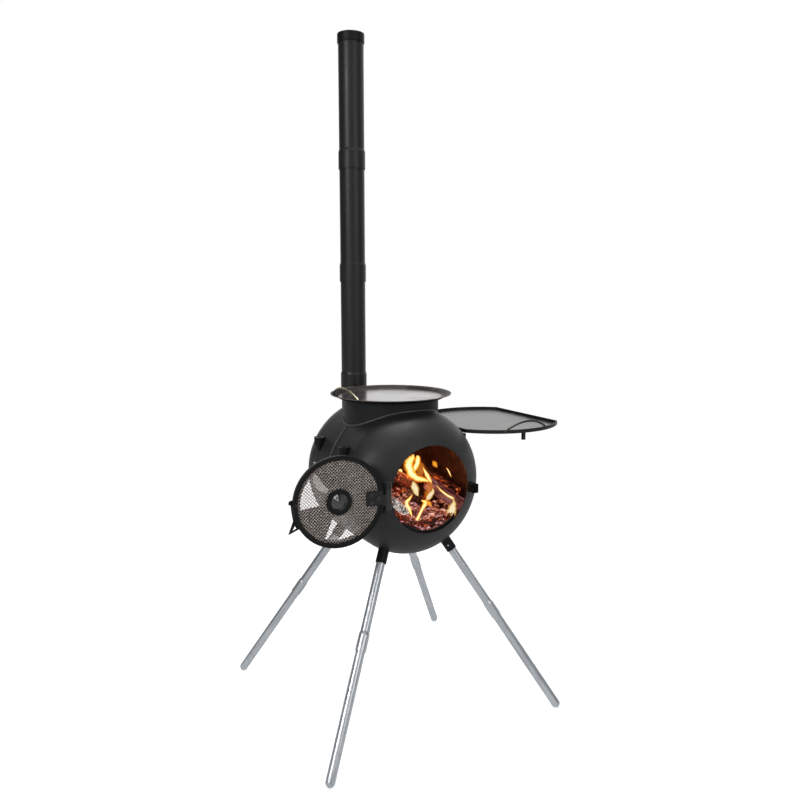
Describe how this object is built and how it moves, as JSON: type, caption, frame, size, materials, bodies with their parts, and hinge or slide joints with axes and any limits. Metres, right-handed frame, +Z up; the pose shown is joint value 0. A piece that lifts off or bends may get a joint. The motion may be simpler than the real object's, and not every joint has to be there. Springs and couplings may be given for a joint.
{
  "type": "chiminea",
  "caption": "Portable steel chiminea stove with a dished drum firebox, hinged mesh and vent door, sectional flue, lift-off hot plate, side warming plate and splayed plug-in tube legs.",
  "frame": {"origin": "point on the floor on the vertical axis of the cooking neck, in the girth weld's plane", "axes": "+Z up along the flue, door opening faces -Y, warming plate on the +X side, flue on the +Y side"},
  "size_m": [0.7011, 0.54, 1.537],
  "materials": {
    "stove_paint": "matt high-temperature paint",
    "black_steel": "black satin paint",
    "flue_paint": "matt grey-black paint",
    "zinc_tube": "bright zinc plate",
    "plate_steel": "polished steel",
    "stainless": "heat-tinted stainless",
    "bright_plate": "satin stainless",
    "foot_plastic": "black moulded"
  },
  "bodies": {
    "firebox": {"body_front_shell": "stove_paint", "body_rear_shell": "stove_paint", "girth_weld": "stove_paint", "neck_collar": "stove_paint", "neck_weld": "stove_paint", "flue_spigot": "stove_paint", "flue_spigot_base": "stove_paint", "spigot_bolt": "bright_plate", "door_stop_lip": "black_steel", "door_keeper": "black_steel", "hinge_bracket": "stove_paint", "hinge_pin": "bright_plate", "blank_plate": "bright_plate", "blank_plate_rivets": "bright_plate", "left_plate_bosses": "black_steel", "right_plate_bosses": "black_steel", "leg_socket_front_left": "black_steel", "leg_socket_front_right": "black_steel", "leg_socket_rear_left": "black_steel", "leg_socket_rear_right": "black_steel"},
    "door": {"door_ring": "black_steel", "door_mesh": "stainless", "door_vent_plate": "stainless", "door_clamp_ring": "black_steel", "door_hub": "black_steel", "door_hub_ring": "black_steel", "door_hinge_leaf": "black_steel", "door_hinge_pad": "black_steel", "door_hinge_bolts": "black_steel", "latch_rivet": "stainless"},
    "damper": {"damper_disc": "stainless", "damper_tab": "black_steel"},
    "latch": {"latch_lever": "black_steel"},
    "hot_plate": {"hot_plate_pan": "plate_steel", "hot_plate_handle": "plate_steel", "hot_plate_lugs": "plate_steel"},
    "warming_plate": {"warming_plate_pan": "plate_steel", "warming_plate_handle": "plate_steel", "warming_plate_pegs": "plate_steel"},
    "flue_lower": {"flue_lower": "flue_paint"},
    "flue_middle": {"flue_middle": "flue_paint"},
    "flue_upper": {"flue_upper": "flue_paint", "flue_top_band": "flue_paint"},
    "upper_leg_front_left": {"leg_upper_front_left": "zinc_tube"},
    "lower_leg_front_left": {"leg_lower_front_left": "zinc_tube", "foot_plug_front_left": "foot_plastic"},
    "upper_leg_front_right": {"leg_upper_front_right": "zinc_tube"},
    "lower_leg_front_right": {"leg_lower_front_right": "zinc_tube", "foot_plug_front_right": "foot_plastic"},
    "upper_leg_rear_left": {"leg_upper_rear_left": "zinc_tube"},
    "lower_leg_rear_left": {"leg_lower_rear_left": "zinc_tube", "foot_plug_rear_left": "foot_plastic"},
    "upper_leg_rear_right": {"leg_upper_rear_right": "zinc_tube"},
    "lower_leg_rear_right": {"leg_lower_rear_right": "zinc_tube", "foot_plug_rear_right": "foot_plastic"}
  },
  "joints": [
    {"name": "door_hinge", "type": "hinge", "parent": "firebox", "child": "door", "pos_m": [-0.1047, -0.1774, 0.524], "axis": [0, 0, 1], "range_deg": [0, 187.4]},
    {"name": "damper_turn", "type": "hinge", "parent": "door", "child": "damper", "pos_m": [-0.20853, -0.16392, 0.53], "axis": [-0.1288, -0.9917, 0], "range_deg": [0, 60]},
    {"name": "latch_pivot", "type": "hinge", "parent": "door", "child": "latch", "pos_m": [-0.29599, -0.15255, 0.533], "axis": [-0.1288, -0.9917, 0], "range_deg": [-35, 14]},
    {"name": "hot_plate_lift", "type": "slide", "parent": "firebox", "child": "hot_plate", "axis": [0, 0, 1], "range_m": [0, 0.12]},
    {"name": "warming_plate_lift", "type": "slide", "parent": "firebox", "child": "warming_plate", "axis": [0, 0, 1], "range_m": [0, 0.06]},
    {"name": "flue_lower_lift", "type": "slide", "parent": "firebox", "child": "flue_lower", "axis": [0, 0, 1], "range_m": [0, 0.08]},
    {"name": "flue_middle_lift", "type": "slide", "parent": "flue_lower", "child": "flue_middle", "axis": [0, 0, 1], "range_m": [0, 0.08]},
    {"name": "flue_upper_lift", "type": "slide", "parent": "flue_middle", "child": "flue_upper", "axis": [0, 0, 1], "range_m": [0, 0.08]},
    {"name": "upper_leg_front_left_pull", "type": "slide", "parent": "firebox", "child": "upper_leg_front_left", "axis": [-0.4445, -0.3431, -0.8275], "range_m": [0, 0.06]},
    {"name": "lower_leg_front_left_pull", "type": "slide", "parent": "upper_leg_front_left", "child": "lower_leg_front_left", "axis": [-0.4445, -0.3431, -0.8275], "range_m": [0, 0.06]},
    {"name": "upper_leg_front_right_pull", "type": "slide", "parent": "firebox", "child": "upper_leg_front_right", "axis": [0.4445, -0.3431, -0.8275], "range_m": [0, 0.06]},
    {"name": "lower_leg_front_right_pull", "type": "slide", "parent": "upper_leg_front_right", "child": "lower_leg_front_right", "axis": [0.4445, -0.3431, -0.8275], "range_m": [0, 0.06]},
    {"name": "upper_leg_rear_left_pull", "type": "slide", "parent": "firebox", "child": "upper_leg_rear_left", "axis": [-0.4445, 0.3431, -0.8275], "range_m": [0, 0.06]},
    {"name": "lower_leg_rear_left_pull", "type": "slide", "parent": "upper_leg_rear_left", "child": "lower_leg_rear_left", "axis": [-0.4445, 0.3431, -0.8275], "range_m": [0, 0.06]},
    {"name": "upper_leg_rear_right_pull", "type": "slide", "parent": "firebox", "child": "upper_leg_rear_right", "axis": [0.4445, 0.3431, -0.8275], "range_m": [0, 0.06]},
    {"name": "lower_leg_rear_right_pull", "type": "slide", "parent": "upper_leg_rear_right", "child": "lower_leg_rear_right", "axis": [0.4445, 0.3431, -0.8275], "range_m": [0, 0.06]}
  ]
}
